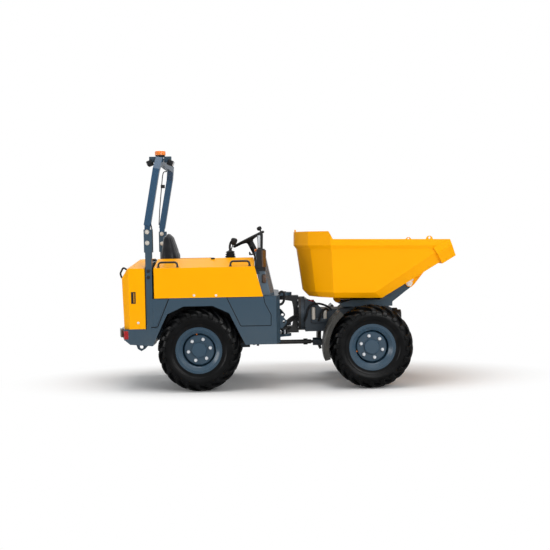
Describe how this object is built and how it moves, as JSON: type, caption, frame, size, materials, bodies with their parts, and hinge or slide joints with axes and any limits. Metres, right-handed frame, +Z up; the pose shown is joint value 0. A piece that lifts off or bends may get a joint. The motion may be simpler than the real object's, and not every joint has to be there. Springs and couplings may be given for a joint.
{
  "type": "site dumper",
  "caption": "Articulated wheeled site dumper with a swivel-tip front skip, open operator station, engine covers and a folding rollover hoop.",
  "frame": {"origin": "on the ground under the middle of the bounding box", "axes": "+X forward to the skip's lip, +Y the machine's left, +Z up"},
  "size_m": [3.1379, 1.274, 2.2334],
  "materials": {
    "yellow_paint": "glossy machine yellow",
    "frame_paint": "satin slate grey",
    "axle_paint": "satin dark grey",
    "wheel_paint": "satin slate grey",
    "black_paint": "satin black",
    "black_plastic": "moulded grain",
    "rubber_grip": "soft grip",
    "tyre_rubber": "moulded rubber",
    "seat_cover": "grained vinyl",
    "engine_iron": "cast",
    "bare_steel": "machined",
    "chrome_rod": "hard chrome",
    "lamp_body": "black housing",
    "clear_lens": "clear lens",
    "amber_lens": "amber lens",
    "red_lens": "red lens"
  },
  "bodies": {
    "rear": {"rear_frame": "frame_paint", "side_panel_right": "frame_paint", "side_panel_left": "frame_paint", "arch_liners": "black_plastic", "bumper": "frame_paint", "tail_lamps": "red_lens", "lashing_eyes": "frame_paint", "left_cover": "yellow_paint", "platform": "frame_paint", "seat_cushion": "seat_cover", "seat_back": "seat_cover", "shield": "frame_paint", "dash": "black_plastic", "joystick": "rubber_grip", "front_lights": "lamp_body", "rops_base": "frame_paint", "engine": "engine_iron", "rear_axle": "axle_paint", "steer_barrel": "black_paint"},
    "tail_hood": {"tail_hood": "yellow_paint", "tail_handle": "black_plastic"},
    "engine_hood": {"engine_hood": "yellow_paint", "hood_handles": "black_plastic"},
    "access_door": {"access_door": "frame_paint"},
    "rops_hoop": {"rops_hoop": "frame_paint", "work_lamps": "lamp_body", "beacon": "amber_lens"},
    "steering_wheel": {"steering_wheel": "rubber_grip"},
    "steer_rod": {"steer_rod": "chrome_rod"},
    "yoke": {"yoke": "black_paint"},
    "prop_cross": {"prop_cross": "bare_steel"},
    "prop_tube": {"prop_tube": "black_paint"},
    "front": {"front_frame": "axle_paint", "front_axle": "axle_paint", "front_fenders": "black_plastic", "accumulators": "chrome_rod", "nose_lamps": "clear_lens"},
    "turntable": {"turntable": "frame_paint"},
    "tip_barrel": {"tip_barrel": "black_paint"},
    "tip_rod": {"tip_rod": "chrome_rod"},
    "skip": {"skip": "yellow_paint"},
    "wheel_rear_right": {"rim_rear_right": "wheel_paint", "tyre_rear_right": "tyre_rubber"},
    "wheel_rear_left": {"rim_rear_left": "wheel_paint", "tyre_rear_left": "tyre_rubber"},
    "wheel_front_right": {"rim_front_right": "wheel_paint", "tyre_front_right": "tyre_rubber"},
    "wheel_front_left": {"rim_front_left": "wheel_paint", "tyre_front_left": "tyre_rubber"}
  },
  "joints": [
    {"name": "steer", "type": "hinge", "parent": "rear", "child": "yoke", "pos_m": [-0.028, 0, 0.6], "axis": [0, 0, 1], "range_deg": [-33, 33]},
    {"name": "roll", "type": "hinge", "parent": "yoke", "child": "front", "pos_m": [0.132, 0, 0.665], "axis": [1, 0, 0], "range_deg": [-10, 10]},
    {"name": "swing", "type": "hinge", "parent": "front", "child": "turntable", "pos_m": [0.767, 0, 0.745], "axis": [0, 0, -1], "range_deg": [-90, 90]},
    {"name": "tip", "type": "hinge", "parent": "turntable", "child": "skip", "pos_m": [1.165, 0, 0.952], "axis": [0, 1, 0], "range_deg": [0, 75]},
    {"name": "tip_barrel_turn", "type": "hinge", "parent": "turntable", "child": "tip_barrel", "pos_m": [0.992, 0, 0.791], "axis": [0, 1, 0], "range_deg": [-1, 79.5]},
    {"name": "tip_rod_slide", "type": "slide", "parent": "tip_barrel", "child": "tip_rod", "axis": [-1, 0, 0], "range_m": [-0.005, 0.29]},
    {"name": "steer_rod_slide", "type": "slide", "parent": "rear", "child": "steer_rod", "axis": [1, 0, 0], "range_m": [-0.07, 0.07]},
    {"name": "shaft_steer", "type": "hinge", "parent": "rear", "child": "prop_cross", "pos_m": [-0.328, 0, 0.385], "axis": [0, 0, 1], "range_deg": [-17, 17]},
    {"name": "shaft_roll", "type": "hinge", "parent": "prop_cross", "child": "prop_tube", "pos_m": [-0.328, 0, 0.385], "axis": [0, 0, 1], "range_deg": [-5, 5]},
    {"name": "spin_rear_right", "type": "hinge", "parent": "rear", "child": "wheel_rear_right", "pos_m": [-0.823, -0.488, 0.385], "axis": [0, 1, 0], "continuous": true},
    {"name": "spin_rear_left", "type": "hinge", "parent": "rear", "child": "wheel_rear_left", "pos_m": [-0.823, 0.488, 0.385], "axis": [0, 1, 0], "continuous": true},
    {"name": "spin_front_right", "type": "hinge", "parent": "front", "child": "wheel_front_right", "pos_m": [0.767, -0.488, 0.385], "axis": [0, 1, 0], "continuous": true},
    {"name": "spin_front_left", "type": "hinge", "parent": "front", "child": "wheel_front_left", "pos_m": [0.767, 0.488, 0.385], "axis": [0, 1, 0], "continuous": true},
    {"name": "hoop_fold", "type": "hinge", "parent": "rear", "child": "rops_hoop", "pos_m": [-1.273, 0, 1.377], "axis": [0, -1, 0], "range_deg": [0, 100]},
    {"name": "engine_hood_open", "type": "hinge", "parent": "rear", "child": "engine_hood", "pos_m": [-0.823, -0.262, 1.219], "axis": [-1, 0, 0], "range_deg": [0, 75]},
    {"name": "tail_hood_open", "type": "hinge", "parent": "rear", "child": "tail_hood", "pos_m": [-1.304, 0, 1.219], "axis": [0, -1, 0], "range_deg": [-60, 0]},
    {"name": "access_door_open", "type": "hinge", "parent": "rear", "child": "access_door", "pos_m": [-0.388, -0.6, 0.864], "axis": [-1, 0, 0], "range_deg": [0, 80]},
    {"name": "steering_wheel_turn", "type": "hinge", "parent": "rear", "child": "steering_wheel", "pos_m": [-0.361, 0, 1.4], "axis": [-0.4384, 0, 0.8988], "continuous": true}
  ],
  "couplings": [
    {"joint": "tip_barrel_turn", "follows": "tip", "ratio": 1.0466},
    {"joint": "tip_rod_slide", "follows": "tip", "m_per_rad": 0.21787},
    {"joint": "steer_rod_slide", "follows": "steer", "m_per_rad": 0.10875},
    {"joint": "shaft_steer", "follows": "steer", "ratio": 0.5},
    {"joint": "shaft_roll", "follows": "roll", "ratio": 0.46329}
  ]
}
